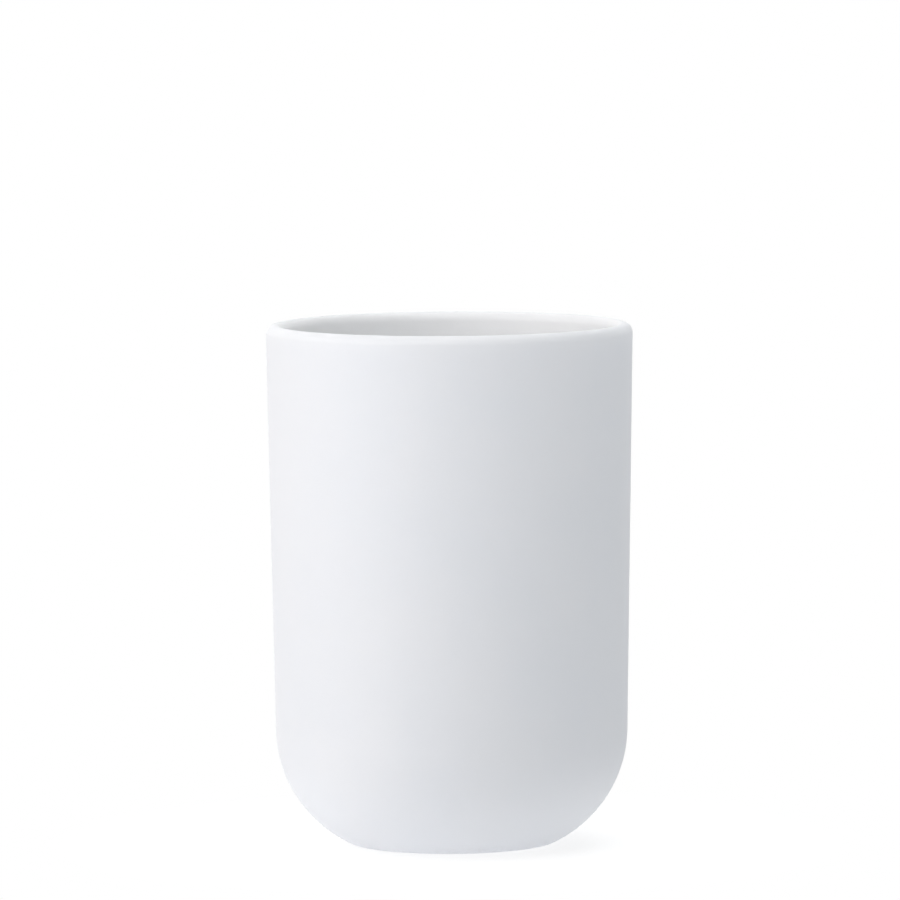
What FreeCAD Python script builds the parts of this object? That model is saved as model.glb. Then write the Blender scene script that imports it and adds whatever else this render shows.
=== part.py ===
import FreeCAD, Part
import math
import os
import Sketcher

# Toothbrush holder: a moulded tumbler with a thick rounded lip, and the soft ring
# that is pressed into its underside. The origin is on the table, on the axis of the cup.

doc = FreeCAD.newDocument("toothbrush_holder")
sheet = doc.addObject("Spreadsheet::Sheet", "sizes")

SIZES = (
    ("rim_diameter", 80.0, "widest part of the lip, mm"),
    ("cup_height", 114.0, "table to the crest of the lip, mm"),
    ("wall_thickness", 4.0, "side wall and full round of the lip, mm"),
    ("wall_draft", 1.0, "lean of the side wall, narrower downwards, degrees"),
    ("base_diameter", 45.0, "flat underside, mm"),
    ("base_edge_angle", 25.0, "slope of the bottom curve where it meets the flat, degrees"),
    ("base_edge_radius", 1.0, "rounding between the flat and the bottom curve, mm"),
    ("floor_thickness", 5.0, "floor above the flat underside, mm"),
    ("floor_fillet", 10.0, "rounding between the floor and the inside curve, mm"),
    ("foot_proud", 0.4, "how far the soft ring lifts the cup off the table, mm"),
    ("base_land", 4.0, "flat left between the ring channel and the base edge, mm"),
    ("channel_width", 5.0, "ring channel, across, mm"),
    ("channel_depth", 2.0, "ring channel, up from the flat, mm"),
    ("channel_mouth", 0.3, "bevel round the mouth of the channel, mm"),
    ("undercut_depth", 0.4, "snap groove in the outer wall of the channel, mm"),
    ("undercut_height", 1.0, "mouth of the snap groove, mm"),
    ("ring_clearance", 0.05, "play at the sides of the ring, mm"),
    ("ring_edge", 0.5, "bevel of the ring where it meets the table, mm"),
    ("ring_lead_in", 0.3, "bevel on the top edges of the ring, mm"),
    ("grip_groove_width", 0.8, "grooves in the underside of the ring, across, mm"),
    ("grip_groove_depth", 0.5, "grooves in the underside of the ring, up, mm"),
    ("recess_diameter", 18.0, "shallow recess in the middle of the underside, mm"),
    ("recess_depth", 0.6, "height of that recess, mm"),
    ("recess_bevel", 0.4, "bevel inside that recess, mm"),
)
for row, (alias, value, note) in enumerate(SIZES, start=1):
    sheet.set(f"A{row}", alias)
    sheet.set(f"B{row}", str(value))
    sheet.set(f"C{row}", note)
    sheet.setAlias(f"B{row}", alias)
doc.recompute()

GRIP_GROOVES = 2
NEAR = 1e-4
# A constraint counts a line's or an arc's points from 1, and a sketch's own axes down from -1.
START, END, CENTRE = range(1, 4)
H_AXIS, V_AXIS = range(-1, -3, -1)
ORIGIN = (H_AXIS, START)


def size(alias):
    """A value of the sheet as a plain number."""
    return float(sheet.get(alias))


def flat(x, y):
    return FreeCAD.Vector(x, y, 0)


def line(first, last):
    return Part.LineSegment(first, last)


def arc(centre, radius, from_angle, to_angle):
    """An arc that runs anticlockwise, with its angles in radians."""
    circle = Part.Circle(centre, FreeCAD.Vector(0, 0, 1), radius)
    return Part.ArcOfCircle(circle, from_angle, to_angle)


def half_section(body, name):
    """A sketch on the body's own upright plane: across is the radius, up is the height."""
    planes = {feature.Role: feature for feature in body.Origin.OriginFeatures}
    sketch = body.newObject("Sketcher::SketchObject", name)
    sketch.AttachmentSupport = (planes["XZ_Plane"], [""])
    sketch.MapMode = "FlatFace"
    return sketch


def tie(sketch, *rules):
    """Adds constraints that carry no size."""
    for rule in rules:
        sketch.addConstraint(Sketcher.Constraint(*rule))


def drive(sketch, name, formula, *rule):
    """Adds a dimension and binds it to the sheet."""
    index = sketch.addConstraint(Sketcher.Constraint(*rule))
    sketch.renameConstraint(index, name)
    sketch.setExpression(f"Constraints.{name}", formula)


def put(sketch, name, geometry, point, across, up):
    """Drives one point of the sketch to a radius and a height."""
    x, x_formula = across
    y, y_formula = up
    drive(sketch, f"{name}_radius", x_formula, "DistanceX", *ORIGIN, geometry, point, x)
    drive(sketch, f"{name}_height", y_formula, "DistanceY", *ORIGIN, geometry, point, y)


def turn(body, kind, name, sketch):
    """Revolves a half section right round the axis, to add or to cut."""
    feature = body.newObject(f"PartDesign::{kind}", name)
    feature.Profile = sketch
    feature.ReferenceAxis = (sketch, ["V_Axis"])
    feature.Angle = 360
    sketch.Visibility = False
    doc.recompute()
    return feature


def circles_at(feature, spots):
    """Names of the round edges that lie at the given radius and height."""
    names = []
    for number, edge in enumerate(feature.Shape.Edges, start=1):
        if edge.Curve.TypeId != "Part::GeomCircle":
            continue
        for radius, height in spots:
            same_radius = abs(edge.Curve.Radius - radius) < NEAR
            same_height = abs(edge.Curve.Center.z - height) < NEAR
            if same_radius and same_height:
                names.append(f"Edge{number}")
    if len(names) != len(spots):
        raise RuntimeError(f"{feature.Name}: {len(names)} edges found for {len(spots)} spots")
    return names


def dress(body, kind, name, base, spots, value, formula):
    """Rounds or bevels round edges of the feature made before."""
    feature = body.newObject(f"PartDesign::{kind}", name)
    feature.Base = (base, circles_at(base, spots))
    setattr(feature, value, 0.1)
    feature.setExpression(value, formula)
    doc.recompute()
    return feature


# The cup is one thick moulding. Its section is a single closed line: flat underside,
# bottom curve, drafted wall, full round lip and the inside parallel to the outside.
# The bottom curve has no radius of its own. It is tangent to the wall and leaves the
# flat at a set slope, so it fits itself to the rim, the draft and the base.
draft = math.radians(size("wall_draft"))
slope = math.radians(size("base_edge_angle"))
wall = size("wall_thickness")
base_radius = size("base_diameter") / 2
base_height = size("foot_proud")
floor_height = base_height + size("floor_thickness")
lip_radius = size("rim_diameter") / 2 - wall / 2
lip_height = size("cup_height") - wall / 2

outward = flat(math.cos(draft), -math.sin(draft))
lip = flat(lip_radius, lip_height)
lip_outer = lip + outward * (wall / 2)
lip_inner = lip - outward * (wall / 2)
across = (lip_outer.x - base_radius) * math.cos(draft)
down = (lip_outer.y - base_height) * math.sin(draft)
bottom_radius = (across - down) / (1 - math.sin(slope + draft))
bottom = flat(
    base_radius - bottom_radius * math.sin(slope),
    base_height + bottom_radius * math.cos(slope),
)
inner_radius = bottom_radius - wall
floor_drop = bottom.y - floor_height
floor_radius = bottom.x + math.sqrt(inner_radius**2 - floor_drop**2)

cup = doc.addObject("PartDesign::Body", "cup")
cup.Label = "cup"
section = half_section(cup, "cup_section")
underside, curve, side, rim, inside, inside_curve, floor, axis, slope_line = section.addGeometry([
    line(flat(0, base_height), flat(base_radius, base_height)),
    arc(bottom, bottom_radius, slope - math.pi / 2, -draft),
    line(bottom + outward * bottom_radius, lip_outer),
    arc(lip, wall / 2, -draft, math.pi - draft),
    line(lip_inner, bottom + outward * inner_radius),
    arc(bottom, inner_radius, -math.asin(floor_drop / inner_radius), -draft),
    line(flat(floor_radius, floor_height), flat(0, floor_height)),
    line(flat(0, floor_height), flat(0, base_height)),
    line(bottom, flat(base_radius, base_height)),
], False)
section.toggleConstruction(slope_line)
tie(
    section,
    ("Coincident", underside, END, curve, START),
    ("Tangent", curve, END, side, START),
    ("Tangent", side, END, rim, START),
    ("Tangent", rim, END, inside, START),
    ("Tangent", inside, END, inside_curve, END),
    ("Coincident", inside_curve, START, floor, START),
    ("Coincident", floor, END, axis, START),
    ("Coincident", axis, END, underside, START),
    ("PointOnObject", underside, START, V_AXIS),
    ("PointOnObject", floor, END, V_AXIS),
    ("Horizontal", underside),
    ("Horizontal", floor),
    ("Parallel", side, inside),
    ("Coincident", curve, CENTRE, inside_curve, CENTRE),
    ("Coincident", slope_line, START, curve, CENTRE),
    ("Coincident", slope_line, END, curve, START),
)
put(
    section, "lip", rim, CENTRE,
    (lip_radius, "sizes.rim_diameter / 2 - sizes.wall_thickness / 2"),
    (lip_height, "sizes.cup_height - sizes.wall_thickness / 2"),
)
put(
    section, "base", underside, END,
    (base_radius, "sizes.base_diameter / 2"),
    (base_height, "sizes.foot_proud"),
)
drive(section, "lip_round", "sizes.wall_thickness / 2", "Radius", rim, wall / 2)
drive(
    section, "floor_height", "sizes.foot_proud + sizes.floor_thickness",
    "DistanceY", *ORIGIN, floor, START, floor_height,
)
drive(section, "side_lean", "90 deg - sizes.wall_draft * 1 deg", "Angle", side, math.pi / 2 - draft)
drive(
    section, "edge_slope", "sizes.base_edge_angle * 1 deg - 90 deg",
    "Angle", slope_line, slope - math.pi / 2,
)
doc.recompute()
shell = turn(cup, "Revolution", "cup_shell", section)
floor_round = dress(
    cup, "Fillet", "floor_round", shell, [(floor_radius, floor_height)],
    "Radius", "sizes.floor_fillet",
)
base_round = dress(
    cup, "Fillet", "base_round", floor_round, [(base_radius, base_height)],
    "Radius", "sizes.base_edge_radius",
)

# The channel for the soft ring is cut up into the flat. Its outer wall has a V-shaped
# undercut at mid-depth, which holds the bead of the ring.
OUTER = "(sizes.base_diameter / 2 - sizes.base_land)"
INNER = f"({OUTER} - sizes.channel_width)"
ROOF = "(sizes.foot_proud + sizes.channel_depth)"
SNAP = "(sizes.foot_proud + sizes.channel_depth / 2)"
outer = base_radius - size("base_land")
inner = outer - size("channel_width")
roof = base_height + size("channel_depth")
snap = base_height + size("channel_depth") / 2
snap_depth = size("undercut_depth")
snap_half = size("undercut_height") / 2


def snap_section(body, name, play, play_formula):
    """Section of the channel or of its ring: a block with a V-shaped bead on the outside."""
    near, far = inner + play, outer - play
    sketch = half_section(body, name)
    foot, lower, lead, hold, upper, top, back = sketch.addGeometry([
        line(flat(near, 0), flat(far, 0)),
        line(flat(far, 0), flat(far, snap - snap_half)),
        line(flat(far, snap - snap_half), flat(far + snap_depth, snap)),
        line(flat(far + snap_depth, snap), flat(far, snap + snap_half)),
        line(flat(far, snap + snap_half), flat(far, roof)),
        line(flat(far, roof), flat(near, roof)),
        line(flat(near, roof), flat(near, 0)),
    ], False)
    tie(
        sketch,
        ("Coincident", foot, END, lower, START),
        ("Coincident", lower, END, lead, START),
        ("Coincident", lead, END, hold, START),
        ("Coincident", hold, END, upper, START),
        ("Coincident", upper, END, top, START),
        ("Coincident", top, END, back, START),
        ("Coincident", back, END, foot, START),
        ("Horizontal", foot),
        ("Horizontal", top),
        ("Vertical", lower),
        ("Vertical", upper),
        ("Vertical", back),
        ("Equal", lead, hold),
        ("PointOnObject", foot, START, H_AXIS),
    )
    put(
        sketch, "corner", top, START,
        (far, f"{OUTER} - {play_formula}"),
        (roof, ROOF),
    )
    put(
        sketch, "snap", lead, END,
        (far + snap_depth, f"{OUTER} - {play_formula} + sizes.undercut_depth"),
        (snap, SNAP),
    )
    put(
        sketch, "lead", lead, START,
        (far, f"{OUTER} - {play_formula}"),
        (snap - snap_half, f"{SNAP} - sizes.undercut_height / 2"),
    )
    drive(
        sketch, "back_radius", f"{INNER} + {play_formula}",
        "DistanceX", *ORIGIN, back, START, near,
    )
    doc.recompute()
    return sketch


channel_section = snap_section(cup, "channel_section", 0, "0")
channel = turn(cup, "Groove", "ring_channel", channel_section)
dress(
    cup, "Chamfer", "channel_mouth", channel, [(inner, base_height), (outer, base_height)],
    "Size", "sizes.channel_mouth",
)

# A shallow recess keeps the middle of the underside clear of the table.
recess_radius = size("recess_diameter") / 2
recess_height = base_height + size("recess_depth")
recess_section = half_section(cup, "recess_section")
recess_floor, recess_side, recess_roof, recess_axis = recess_section.addGeometry([
    line(flat(0, 0), flat(recess_radius, 0)),
    line(flat(recess_radius, 0), flat(recess_radius, recess_height)),
    line(flat(recess_radius, recess_height), flat(0, recess_height)),
    line(flat(0, recess_height), flat(0, 0)),
], False)
tie(
    recess_section,
    ("Coincident", recess_floor, END, recess_side, START),
    ("Coincident", recess_side, END, recess_roof, START),
    ("Coincident", recess_roof, END, recess_axis, START),
    ("Coincident", recess_axis, END, recess_floor, START),
    ("Coincident", recess_floor, START, *ORIGIN),
    ("Horizontal", recess_floor),
    ("Horizontal", recess_roof),
    ("Vertical", recess_side),
    ("Vertical", recess_axis),
)
put(
    recess_section, "recess", recess_side, END,
    (recess_radius, "sizes.recess_diameter / 2"),
    (recess_height, "sizes.foot_proud + sizes.recess_depth"),
)
doc.recompute()
recess = turn(cup, "Groove", "base_recess", recess_section)
dress(
    cup, "Chamfer", "recess_bevel", recess, [(recess_radius, recess_height)],
    "Size", "sizes.recess_bevel",
)

# The foot ring is soft elastomer, pressed up into the channel until its top meets the roof.
# Its bead sits in the undercut with the same play as its sides, and the grooves in its
# underside break the film of water under the cup.
play = size("ring_clearance")
near, far = inner + play, outer - play
ring = doc.addObject("PartDesign::Body", "foot_ring")
ring.Label = "foot_ring"
ring_section = snap_section(ring, "ring_section", play, "sizes.ring_clearance")
ring_block = turn(ring, "Revolution", "ring_block", ring_section)
lead_in = dress(
    ring, "Chamfer", "ring_lead_in", ring_block, [(near, roof), (far, roof)],
    "Size", "sizes.ring_lead_in",
)
dress(
    ring, "Chamfer", "ring_edges", lead_in, [(near, 0), (far, 0)],
    "Size", "sizes.ring_edge",
)
groove_section = half_section(ring, "groove_section")
groove_half = size("grip_groove_width") / 2
groove_depth = size("grip_groove_depth")
pitch = (far - near) / (GRIP_GROOVES + 1)
for number in range(1, GRIP_GROOVES + 1):
    place = near + number * pitch
    place_formula = (
        f"{INNER} + sizes.ring_clearance"
        f" + {number} * (sizes.channel_width - 2 * sizes.ring_clearance) / {GRIP_GROOVES + 1}"
    )
    mouth, rise, fall = groove_section.addGeometry([
        line(flat(place - groove_half, 0), flat(place + groove_half, 0)),
        line(flat(place + groove_half, 0), flat(place, groove_depth)),
        line(flat(place, groove_depth), flat(place - groove_half, 0)),
    ], False)
    tie(
        groove_section,
        ("Coincident", mouth, END, rise, START),
        ("Coincident", rise, END, fall, START),
        ("Coincident", fall, END, mouth, START),
        ("PointOnObject", mouth, START, H_AXIS),
        ("PointOnObject", mouth, END, H_AXIS),
        ("Equal", rise, fall),
    )
    put(
        groove_section, f"groove_{number}", rise, END,
        (place, place_formula),
        (groove_depth, "sizes.grip_groove_depth"),
    )
    drive(
        groove_section, f"groove_{number}_width", "sizes.grip_groove_width",
        "DistanceX", mouth, START, mouth, END, 2 * groove_half,
    )
doc.recompute()
turn(ring, "Groove", "grip_grooves", groove_section)

doc.recompute()
for item in doc.Objects:
    bad = [state for state in item.State if state in ("Invalid", "Error")]
    if bad:
        raise RuntimeError(f"{item.Name} is {bad}")
os.makedirs("parts", exist_ok=True)
for body in (cup, ring):
    if body.Shape.isNull() or not body.Shape.isValid():
        raise RuntimeError(f"{body.Label} has no valid shape")
    body.Shape.exportStep(f"parts/{body.Label}.step")
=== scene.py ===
import math

import bpy
from mathutils import Euler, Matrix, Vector


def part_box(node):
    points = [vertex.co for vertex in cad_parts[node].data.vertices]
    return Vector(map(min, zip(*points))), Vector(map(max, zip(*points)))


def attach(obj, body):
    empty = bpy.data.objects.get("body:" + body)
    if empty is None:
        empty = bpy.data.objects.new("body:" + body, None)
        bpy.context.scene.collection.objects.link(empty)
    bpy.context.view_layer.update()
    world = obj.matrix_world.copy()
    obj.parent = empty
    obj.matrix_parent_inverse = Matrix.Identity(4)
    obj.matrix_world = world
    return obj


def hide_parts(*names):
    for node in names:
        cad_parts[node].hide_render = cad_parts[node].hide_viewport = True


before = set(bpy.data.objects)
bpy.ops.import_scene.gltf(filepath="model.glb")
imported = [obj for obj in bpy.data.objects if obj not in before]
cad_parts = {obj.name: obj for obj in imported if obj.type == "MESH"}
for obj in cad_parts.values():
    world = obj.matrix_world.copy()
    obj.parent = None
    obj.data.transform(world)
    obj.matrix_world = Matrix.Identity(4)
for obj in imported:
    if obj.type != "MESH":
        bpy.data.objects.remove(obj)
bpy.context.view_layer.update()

# The cup is one thick moulding of matte white plastic, turned about a single axis. A lip that is
# rounded right over leads into a wall with a little draft, and a deep curve runs into the flat
# base. Below, the base has the channel for the foot ring and a shallow recess in the middle.
MM = 0.001
cup_low, cup_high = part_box("cup")
cup_sizes = {
    "Rim Radius": cup_high.x,
    "Crest": cup_high.z,
    "Base": cup_low.z,
    "Wall": 4.0 * MM,
    "Draft": math.radians(1.0),
    "Base Radius": 22.5 * MM,
    "Base Slope": math.radians(25.0),
    "Base Round": 1.0 * MM,
    "Floor Thickness": 5.0 * MM,
    "Floor Round": 10.0 * MM,
    "Channel Outer": 18.5 * MM,
    "Channel Inner": 13.5 * MM,
    "Channel Depth": 2.0 * MM,
    "Channel Mouth": 0.3 * MM,
    "Undercut Depth": 0.4 * MM,
    "Undercut Height": 1.0 * MM,
    "Recess Radius": 9.0 * MM,
    "Recess Depth": 0.6 * MM,
    "Recess Bevel": 0.4 * MM,
    "Around": 240,
}


class Wire:
    """An output in a node tree. Sums of wires and numbers add Math nodes to that tree."""

    def __init__(self, tree, socket=None):
        self.tree = tree
        self.socket = socket

    def into(self, socket):
        """Leads this wire into a socket of another node."""
        self.tree.links.new(self.socket, socket)

    def node(self, kind, settings=None, inputs=None, output=0):
        """Adds a node: first its settings, then a value or a wire for each of its sockets."""
        made = self.tree.nodes.new(kind)
        for name, value in (settings or {}).items():
            setattr(made, name, value)
        for name, value in (inputs or {}).items():
            if isinstance(value, Wire):
                value.into(made.inputs[name])
            else:
                made.inputs[name].default_value = value
        return Wire(self.tree, made.outputs[output])

    def other(self, output):
        """Another output of the same node."""
        return Wire(self.tree, self.socket.node.outputs[output])

    def math(self, operation, *others):
        """A Math node on this wire and the others, in that order."""
        return self.node("ShaderNodeMath", {"operation": operation}, dict(enumerate((self, *others))))

    def __add__(self, other):
        return self.math("ADD", other)

    __radd__ = __add__

    def __sub__(self, other):
        return self.math("SUBTRACT", other)

    def __rsub__(self, other):
        return -self + other

    def __neg__(self):
        return self * -1

    def __mul__(self, other):
        return self.math("MULTIPLY", other)

    __rmul__ = __mul__

    def __truediv__(self, other):
        return self.math("DIVIDE", other)


def new_material(name):
    """A material with its own tree, the tree as a wire, and its main shader's sockets."""
    material = bpy.data.materials.new(name)
    material.use_nodes = True
    return material, Wire(material.node_tree), material.node_tree.nodes["Principled BSDF"].inputs


def cloud(finish, place, spacing, detail):
    """Soft random patches of about one spacing across."""
    return finish.node(
        "ShaderNodeTexNoise",
        None,
        {"Vector": place, "Scale": 1 / spacing, "Detail": detail, "Roughness": 0.55},
    )


def band(wire, start, end):
    """0 before the start, 1 past the end, and a soft step between them."""
    return wire.node(
        "ShaderNodeMapRange",
        {"interpolation_type": "SMOOTHSTEP"},
        {"Value": wire, "From Min": start, "From Max": end},
    )


def tint(factor, first, second):
    """One colour that goes over into another."""
    sockets = {"Factor": factor, 6: first, 7: second}
    return factor.node("ShaderNodeMix", {"data_type": "RGBA"}, sockets, output=2)


matte_white, finish, cup_shader = new_material("matte_white_plastic")
place = finish.node("ShaderNodeTexCoord", output="Object")
level = finish.node("ShaderNodeSeparateXYZ", None, {"Vector": place}, output="Z")
flat_place = finish.node("ShaderNodeVectorMath", {"operation": "MULTIPLY"}, {0: place, 1: (1, 1, 0)})
across = finish.node("ShaderNodeVectorMath", {"operation": "LENGTH"}, {0: flat_place}, output="Value")
facing = finish.node("ShaderNodeNewGeometry", output="Normal")
outward = finish.node(
    "ShaderNodeVectorMath",
    {"operation": "DOT_PRODUCT"},
    {0: facing, 1: flat_place},
    output="Value",
)

grain = cloud(finish, place, spacing=0.45 * MM, detail=2.0)
unevenness = cloud(finish, place, spacing=9.0 * MM, detail=1.0)
tone = cloud(finish, place, spacing=26.0 * MM, detail=3.0)
inner_wall = band(-outward, start=2.0 * MM, end=20.0 * MM)
buffed_lip = band(level, start=cup_high.z - 5.0 * MM, end=cup_high.z - 1.0 * MM)
set_down = 1 - band(level, start=cup_low.z + 0.3 * MM, end=cup_low.z + 2.5 * MM)
scuffs = band(cloud(finish, place, spacing=1.1 * MM, detail=4.0), start=0.5, end=0.66) * set_down

cool_white = (0.853, 0.865, 0.887, 1)
warm_white = (0.868, 0.875, 0.892, 1)
# Painted light: the inside of the wall gets this lighter white, for light that falls into the mouth.
painted_light_inner_white = (0.935, 0.939, 0.948, 1)
scuffed_grey = (0.76, 0.76, 0.76, 1)
white = tint(band(tone, start=0.3, end=0.7), cool_white, warm_white)
# The inside of the wall is painted lighter than the outside: painted light, not a different white of
# the plastic.
white = tint(inner_wall, white, painted_light_inner_white)
white = tint(scuffs * 0.3, white, scuffed_grey)

plain_dullness = 0.58
patchy = (tone - 0.5) * 0.12 + (grain - 0.5) * 0.08
polished = buffed_lip * 0.07 + inner_wall * 0.06
dullness = plain_dullness + patchy - polished + scuffs * 0.15

grain_height = 0.022
unevenness_height = 0.03
tool_mark_height = 0.012
tool_mark_pitch = 0.55 * MM
recess_floor_radius = cup_sizes["Recess Radius"] - cup_sizes["Recess Bevel"]
tool_mark = (across * (2 * math.pi / tool_mark_pitch)).math("SINE")
underneath = level.math("LESS_THAN", cup_low.z + 1.0 * MM)
in_recess = across.math("LESS_THAN", recess_floor_radius) * underneath
height = grain * grain_height * (1 - buffed_lip * 0.6) + unevenness * unevenness_height
height = height + tool_mark * in_recess * tool_mark_height
skin_normal = finish.node("ShaderNodeBump", None, {"Strength": 1.0, "Distance": MM, "Height": height})

light_depth = 4.0 * MM
cup_shader["Subsurface Weight"].default_value = 1.0
cup_shader["Subsurface Radius"].default_value = (1, 1, 1)
cup_shader["Subsurface Scale"].default_value = light_depth
white.into(cup_shader["Base Color"])
dullness.into(cup_shader["Roughness"])
skin_normal.into(cup_shader["Normal"])


def sized_tree(name, sizes):
    """A Geometry Nodes tree with one named input for each size, and those inputs as wires."""
    tree = bpy.data.node_groups.new(name, "GeometryNodeTree")
    for title, value in sizes.items():
        kind = "NodeSocketInt" if isinstance(value, int) else "NodeSocketFloat"
        tree.interface.new_socket(title, in_out="INPUT", socket_type=kind)
    tree.interface.new_socket("Geometry", in_out="OUTPUT", socket_type="NodeSocketGeometry")
    source = tree.nodes.new("NodeGroupInput")
    return Wire(tree), {title: Wire(tree, source.outputs[title]) for title in sizes}


def spot(shape, across, up):
    """One corner of a section: its distance from the axis and its height."""
    place = shape.node("ShaderNodeCombineXYZ", None, {"X": across, "Y": up})
    return shape.node("GeometryNodePoints", None, {"Count": 1, "Position": place})


def bow(shape, across, up, radius, start, sweep, steps):
    """A round stretch of a section, from one angle through another."""
    arc = shape.node(
        "GeometryNodeCurveArc",
        {"mode": "RADIUS"},
        {"Resolution": steps + 1, "Radius": radius, "Start Angle": start, "Sweep Angle": sweep},
    )
    points = shape.node("GeometryNodeCurveToPoints", {"mode": "EVALUATED"}, {"Curve": arc})
    centre = shape.node("ShaderNodeCombineXYZ", None, {"X": across, "Y": up})
    return shape.node("GeometryNodeTransform", None, {"Geometry": points, "Translation": centre})


def turn(shape, stretches, around, material):
    """Joins the stretches of a section in order and turns them about the axis."""
    joined = shape.node("GeometryNodeJoinGeometry")
    for stretch in reversed(stretches):
        stretch.into(joined.socket.node.inputs[0])
    section = shape.node("GeometryNodePointsToCurves", None, {"Points": joined})
    path_radius = 10 * MM
    section = shape.node(
        "GeometryNodeTransform",
        None,
        {"Geometry": section, "Translation": (-path_radius, 0, 0), "Scale": (1, -1, 1)},
    )
    path = shape.node(
        "GeometryNodeCurvePrimitiveCircle",
        None,
        {"Resolution": around, "Radius": path_radius},
    )
    skin = shape.node("GeometryNodeCurveToMesh", None, {"Curve": path, "Profile Curve": section})
    skin = shape.node("GeometryNodeFlipFaces", None, {"Mesh": skin})
    seam_gap = 0.001 * MM
    skin = shape.node("GeometryNodeMergeByDistance", None, {"Geometry": skin, "Distance": seam_gap})
    sharpest_smooth = math.radians(25)
    smooth = shape.node("GeometryNodeInputMeshEdgeAngle").math("LESS_THAN", sharpest_smooth)
    skin = shape.node("GeometryNodeSetShadeSmooth", {"domain": "FACE"}, {"Geometry": skin})
    skin = shape.node(
        "GeometryNodeSetShadeSmooth",
        {"domain": "EDGE"},
        {"Geometry": skin, "Shade Smooth": smooth},
    )
    whole = shape.node("GeometryNodeRealizeInstances", None, {"Geometry": skin})
    whole = shape.node("GeometryNodeSetMaterial", None, {"Geometry": whole, "Material": material})
    whole.into(shape.tree.nodes.new("NodeGroupOutput").inputs["Geometry"])


def turned_piece(name, shape, sizes):
    """Runs a tree with its sizes and keeps what it makes as a plain mesh."""
    piece = bpy.data.objects.new(name, bpy.data.meshes.new(name))
    bpy.context.scene.collection.objects.link(piece)
    modifier = piece.modifiers.new("turned", "NODES")
    modifier.node_group = shape.tree
    for item in shape.tree.interface.items_tree:
        if item.in_out == "INPUT":
            modifier[item.identifier] = sizes[item.name]
    evaluated = piece.evaluated_get(bpy.context.evaluated_depsgraph_get())
    mesh = bpy.data.meshes.new_from_object(evaluated)
    piece.modifiers.remove(modifier)
    piece.data = mesh
    return piece


shape, size = sized_tree("turned_cup", cup_sizes)
draft = size["Draft"]
slope = size["Base Slope"]
base = size["Base"]
lip_radius = size["Wall"] / 2
lip_across = size["Rim Radius"] - lip_radius
lip_up = size["Crest"] - lip_radius
wall_across = lip_across + lip_radius * draft.math("COSINE")
wall_up = lip_up - lip_radius * draft.math("SINE")
lean_in = (wall_across - size["Base Radius"]) * draft.math("COSINE")
lean_down = (wall_up - base) * draft.math("SINE")
curve_radius = (lean_in - lean_down) / (1 - (slope + draft).math("SINE"))
curve_across = size["Base Radius"] - curve_radius * slope.math("SINE")
curve_up = base + curve_radius * slope.math("COSINE")
lip_steps = 36
small_steps = 10
deep_steps = 40


def rounded_floor(level, radius, rounding):
    """The curve from a level floor into the wall: a small round, then the deep bottom curve."""
    rise = curve_up - level - rounding
    reach = radius - rounding
    run = (reach * reach - rise * rise).math("SQRT")
    meet = (-rise).math("ARCTAN2", run)
    quarter = math.pi / 2
    small = (curve_across + run, level + rounding, rounding, -quarter, meet + quarter, small_steps)
    deep = (curve_across, curve_up, radius, meet, -meet - draft, deep_steps)
    return small, deep


def backwards(across, up, radius, start, sweep, steps):
    """The same round stretch, drawn from its far end."""
    return across, up, radius, start + sweep, -sweep, steps


floor_up = base + size["Floor Thickness"]
outside = rounded_floor(base, curve_radius, size["Base Round"])
inside = rounded_floor(floor_up, curve_radius - size["Wall"], size["Floor Round"])
recess_up = base + size["Recess Depth"]
roof_up = base + size["Channel Depth"]
mouth_up = base + size["Channel Mouth"]
snap_up = base + size["Channel Depth"] / 2
snap_half = size["Undercut Height"] / 2
underside = [
    (0, recess_up),
    (size["Recess Radius"] - size["Recess Bevel"], recess_up),
    (size["Recess Radius"], recess_up - size["Recess Bevel"]),
    (size["Recess Radius"], base),
    (size["Channel Inner"] - size["Channel Mouth"], base),
    (size["Channel Inner"], mouth_up),
    (size["Channel Inner"], roof_up),
    (size["Channel Outer"], roof_up),
    (size["Channel Outer"], snap_up + snap_half),
    (size["Channel Outer"] + size["Undercut Depth"], snap_up),
    (size["Channel Outer"], snap_up - snap_half),
    (size["Channel Outer"], mouth_up),
    (size["Channel Outer"] + size["Channel Mouth"], base),
]
section = [spot(shape, *corner) for corner in underside]
section += [bow(shape, *stretch) for stretch in outside]
section.append(bow(shape, lip_across, lip_up, lip_radius, -draft, math.pi, lip_steps))
section += [bow(shape, *backwards(*stretch)) for stretch in reversed(inside)]
section.append(spot(shape, 0, floor_up))
turn(shape, section, size["Around"], matte_white)
cup = turned_piece("cup_skin", shape, cup_sizes)
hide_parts("cup")
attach(cup, "root")

# The foot ring is a soft grey elastomer, moulded with a bead round its outside that snaps into
# the channel in the base. Two grooves in its underside break the film of water under the cup.
ring_low, ring_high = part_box("foot_ring")
bead_depth = cup_sizes["Undercut Depth"]
side_play = 0.05 * MM
ring_sizes = {
    "Outer": ring_high.x - bead_depth,
    "Inner": cup_sizes["Channel Inner"] + side_play,
    "Foot": ring_low.z,
    "Top": ring_high.z,
    "Bead Depth": bead_depth,
    "Bead Height": cup_sizes["Undercut Height"],
    "Bead Middle": cup_low.z + cup_sizes["Channel Depth"] / 2,
    "Edge Bevel": 0.5 * MM,
    "Lead In": 0.3 * MM,
    "Groove Width": 0.8 * MM,
    "Groove Depth": 0.5 * MM,
    "Around": 180,
}

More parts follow.
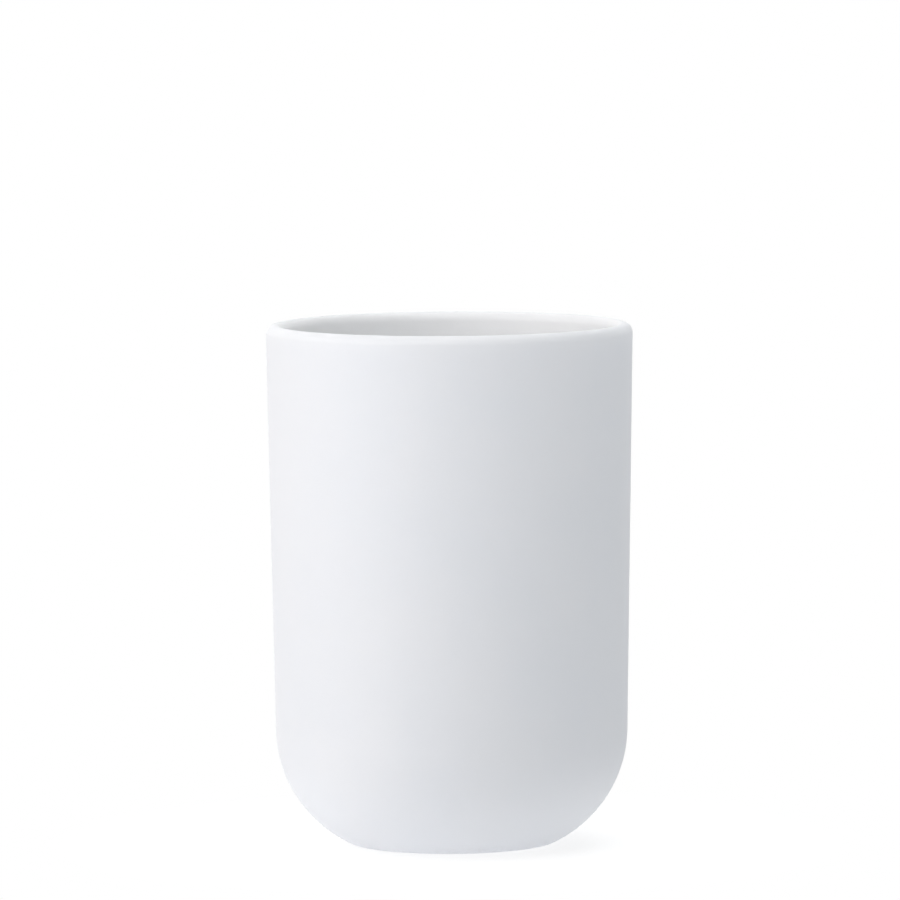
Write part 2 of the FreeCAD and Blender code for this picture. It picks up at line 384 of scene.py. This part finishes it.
soft_grey, finish, ring_shader = new_material("soft_grey_elastomer")
place = finish.node("ShaderNodeTexCoord", output="Object")
level = finish.node("ShaderNodeSeparateXYZ", None, {"Vector": place}, output="Z")
grain = cloud(finish, place, spacing=0.28 * MM, detail=3.0)
tone = cloud(finish, place, spacing=5.0 * MM, detail=3.0)
patches = band(cloud(finish, place, spacing=1.8 * MM, detail=4.0), start=0.4, end=0.6)
rubbed = (1 - band(level, start=0.05 * MM, end=0.35 * MM)) * patches
deep_grey = (0.475, 0.486, 0.507, 1)
pale_grey = (0.525, 0.534, 0.552, 1)
rubbed_grey = (0.36, 0.36, 0.36, 1)
grey = tint(band(tone, start=0.3, end=0.7), deep_grey, pale_grey)
grey = tint(rubbed * 0.45, grey, rubbed_grey)
plain_dullness = 0.74
dullness = plain_dullness + (grain - 0.5) * 0.12 - rubbed * 0.16
grain_height = 0.02
height = grain * grain_height
ring_normal = finish.node("ShaderNodeBump", None, {"Strength": 1.0, "Distance": MM, "Height": height})
grey.into(ring_shader["Base Color"])
dullness.into(ring_shader["Roughness"])
ring_normal.into(ring_shader["Normal"])

shape, size = sized_tree("turned_foot_ring", ring_sizes)
grooves = 2
bead_half = size["Bead Height"] / 2
groove_half = size["Groove Width"] / 2
pitch = (size["Outer"] - size["Inner"]) / (grooves + 1)
corners = [(size["Inner"] + size["Edge Bevel"], size["Foot"])]
for number in range(1, grooves + 1):
    middle = size["Inner"] + pitch * number
    corners += [
        (middle - groove_half, size["Foot"]),
        (middle, size["Foot"] + size["Groove Depth"]),
        (middle + groove_half, size["Foot"]),
    ]
corners += [
    (size["Outer"] - size["Edge Bevel"], size["Foot"]),
    (size["Outer"], size["Foot"] + size["Edge Bevel"]),
    (size["Outer"], size["Bead Middle"] - bead_half),
    (size["Outer"] + size["Bead Depth"], size["Bead Middle"]),
    (size["Outer"], size["Bead Middle"] + bead_half),
    (size["Outer"], size["Top"] - size["Lead In"]),
    (size["Outer"] - size["Lead In"], size["Top"]),
    (size["Inner"] + size["Lead In"], size["Top"]),
    (size["Inner"], size["Top"] - size["Lead In"]),
    (size["Inner"], size["Foot"] + size["Edge Bevel"]),
    corners[0],
]
turn(shape, [spot(shape, *corner) for corner in corners], size["Around"], soft_grey)
foot_ring = turned_piece("foot_ring_skin", shape, ring_sizes)
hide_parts("foot_ring")
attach(foot_ring, "root")

# The camera stands well back with a long lens, a little above the lip. It is aimed so that the
# middle of the cup falls on one pixel of the picture.
image_size = 900
object_centre = Vector((0, 0, 57.5 * MM))
camera_distance = 1800 * MM
camera_elevation = math.radians(5.85)
pixels_per_mm = 4.572
centre_pixel = Vector((449.6, 581.25))
camera_roll = math.radians(-0.361)
focal_pixels = pixels_per_mm / MM * camera_distance
camera_data = bpy.data.cameras.new("camera")
camera_data.sensor_width = 36
camera_data.lens = focal_pixels * camera_data.sensor_width / image_size
camera_data.clip_end = 100
camera = bpy.data.objects.new("camera", camera_data)
bpy.context.scene.collection.objects.link(camera)
bpy.context.scene.camera = camera
back = Vector((0, -math.cos(camera_elevation), math.sin(camera_elevation)))
camera.location = object_centre + back * camera_distance
tilt_up = math.atan((centre_pixel.y - image_size / 2) / focal_pixels)
aim = Euler((math.pi / 2 - camera_elevation + tilt_up, 0, 0)).to_matrix()
camera.rotation_euler = (aim @ Euler((0, 0, camera_roll)).to_matrix()).to_euler()

# The floor is a white light table, plain white to the camera. It keeps the soft shadow of the
# cup, and it is clear from below, so that the foot can be looked at.
floor_half = 6.0
floor_corners = [(-floor_half, -floor_half, 0), (floor_half, -floor_half, 0)]
floor_corners += [(floor_half, floor_half, 0), (-floor_half, floor_half, 0)]
floor_mesh = bpy.data.meshes.new("floor")
floor_mesh.from_pydata(floor_corners, [], [(0, 1, 2, 3)])
floor = bpy.data.objects.new("floor", floor_mesh)
bpy.context.scene.collection.objects.link(floor)
floor_paint = bpy.data.materials.new("floor_paint")
floor_paint.use_nodes = True
floor_paint.node_tree.nodes.clear()
floor_mesh.materials.append(floor_paint)
paint = Wire(floor_paint.node_tree)


def seen_directly(wires):
    """1 on rays that show the background itself, in view, in gloss or through glass."""
    camera_ray = wires.node("ShaderNodeLightPath", output="Is Camera Ray")
    return camera_ray + camera_ray.other("Is Glossy Ray") + camera_ray.other("Is Transmission Ray")


def glow(strength, colour=(1, 1, 1, 1)):
    """Light that the table gives off."""
    return paint.node("ShaderNodeEmission", None, {"Color": colour, "Strength": strength})


def grey_paint(shade):
    """A dull surface, from black at 0 to white at 1."""
    return paint.node("ShaderNodeBsdfDiffuse", None, {"Color": (shade, shade, shade, 1)})


def both(first, second):
    """Two surfaces at once, such as paint that also glows."""
    return paint.node("ShaderNodeAddShader", None, {0: first, 1: second})


def either(factor, first, second):
    """One surface that goes over into another."""
    return paint.node("ShaderNodeMixShader", None, {0: factor, 1: first, 2: second})


table_shade = 0.5
table_glow = 0.5
table_colour = (0.95, 0.965, 1, 1)
shadow_depth = 0.35
light_on_table = 0.75
shadow_start = 45 * MM
shadow_end = 90 * MM
bounce = both(grey_paint(table_shade), glow(table_glow, table_colour))
near = both(grey_paint(shadow_depth), glow(1 - light_on_table * shadow_depth))
place = paint.node("ShaderNodeTexCoord", output="Object")
reach = paint.node("ShaderNodeVectorMath", {"operation": "LENGTH"}, {0: place}, output="Value")
shown = either(band(reach, start=shadow_start, end=shadow_end), near, glow(1.0))
above = either(seen_directly(paint), bounce, shown)
from_below = paint.node("ShaderNodeNewGeometry", output="Backfacing")
surface = either(from_below, above, paint.node("ShaderNodeBsdfTransparent"))
surface.into(floor_paint.node_tree.nodes.new("ShaderNodeOutputMaterial").inputs["Surface"])

# The room is plain white to the camera, and gives the cup only a little light of its own.
ambient = 0.17
room_light = (0.9, 0.96, 1, 1)
room_white = (1, 1, 1, 1)
world = bpy.data.worlds.new("studio")
bpy.context.scene.world = world
world.use_nodes = True
background = world.node_tree.nodes["Background"].inputs
seen = seen_directly(Wire(world.node_tree))
tint(seen, room_light, room_white).into(background["Color"])
(seen + (1 - seen) * ambient).into(background["Strength"])


# Four square soft boxes light the cup: a large key lamp on the left, two smaller ones from above,
# and one behind that lights the inside of the mouth.
def softbox(name, azimuth, elevation, size, watts, colour):
    """A square lamp that faces the cup. Azimuth 0 is at the camera, and 90 is on the right."""
    lamp = bpy.data.lights.new(name, "AREA")
    lamp.size = size
    lamp.energy = watts
    lamp.color = colour
    holder = bpy.data.objects.new(name, lamp)
    bpy.context.scene.collection.objects.link(holder)
    turned = math.radians(azimuth)
    raised = math.radians(elevation)
    level = math.cos(raised)
    out = Vector((math.sin(turned) * level, -math.cos(turned) * level, math.sin(raised)))
    lamp_distance = 1.6
    holder.location = object_centre + out * lamp_distance
    holder.rotation_euler = out.to_track_quat("Z", "Y").to_euler()
    return holder


softbox("key", azimuth=-67, elevation=15, size=1.7, watts=17.2, colour=(1, 0.96, 0.955))
softbox("front", azimuth=0, elevation=60, size=1.2, watts=6.6, colour=(1, 0.99, 0.99))
softbox("top", azimuth=90, elevation=80, size=1.2, watts=6.0, colour=(0.95, 0.98, 1))
back_light = softbox("back", azimuth=180, elevation=40, size=1.7, watts=14.0, colour=(0.98, 0.99, 1))
back_light.visible_glossy = False

bpy.context.scene.view_settings.view_transform = "Standard"
